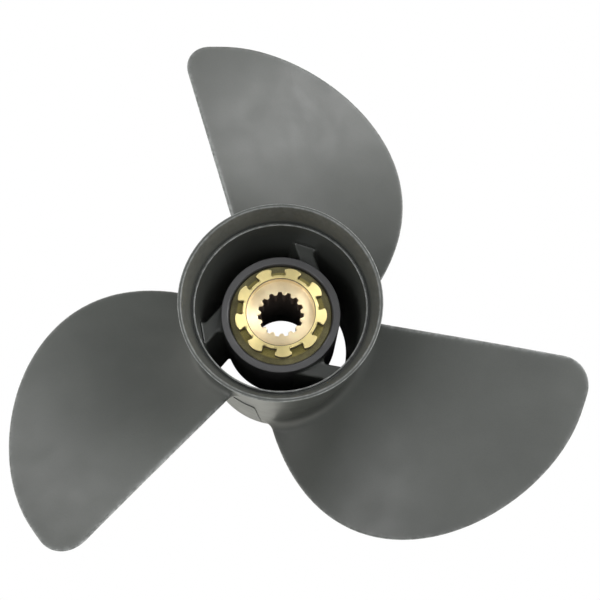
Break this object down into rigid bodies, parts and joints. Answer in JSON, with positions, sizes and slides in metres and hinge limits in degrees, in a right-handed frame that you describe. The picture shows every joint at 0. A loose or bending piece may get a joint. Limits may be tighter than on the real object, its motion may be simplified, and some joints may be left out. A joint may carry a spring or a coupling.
{
  "type": "outboard motor propeller",
  "caption": "Grey right-hand boat propeller with a flared through-hub exhaust barrel and a splined bronze sleeve in a rubber bush.",
  "frame": {"origin": "balance point of the propeller, on its shaft axis", "axes": "+Z along the shaft axis, from the forward end to the aft end, which is up when it stands on its forward end"},
  "size_m": [0.3504, 0.329, 0.14],
  "materials": {
    "grey_paint": "satin dark grey paint on cast aluminium",
    "bush_rubber": "matt black rubber with a brown bloom",
    "sleeve_bronze": "machined bronze"
  },
  "bodies": {
    "root": {"barrel": "grey_paint", "flared_rim": "grey_paint", "inner_hub": "grey_paint", "rib_1": "grey_paint", "rib_2": "grey_paint", "rib_3": "grey_paint", "blade_1": "grey_paint", "blade_2": "grey_paint", "blade_3": "grey_paint", "rubber_bush": "bush_rubber", "splined_sleeve": "sleeve_bronze"}
  },
  "joints": []
}
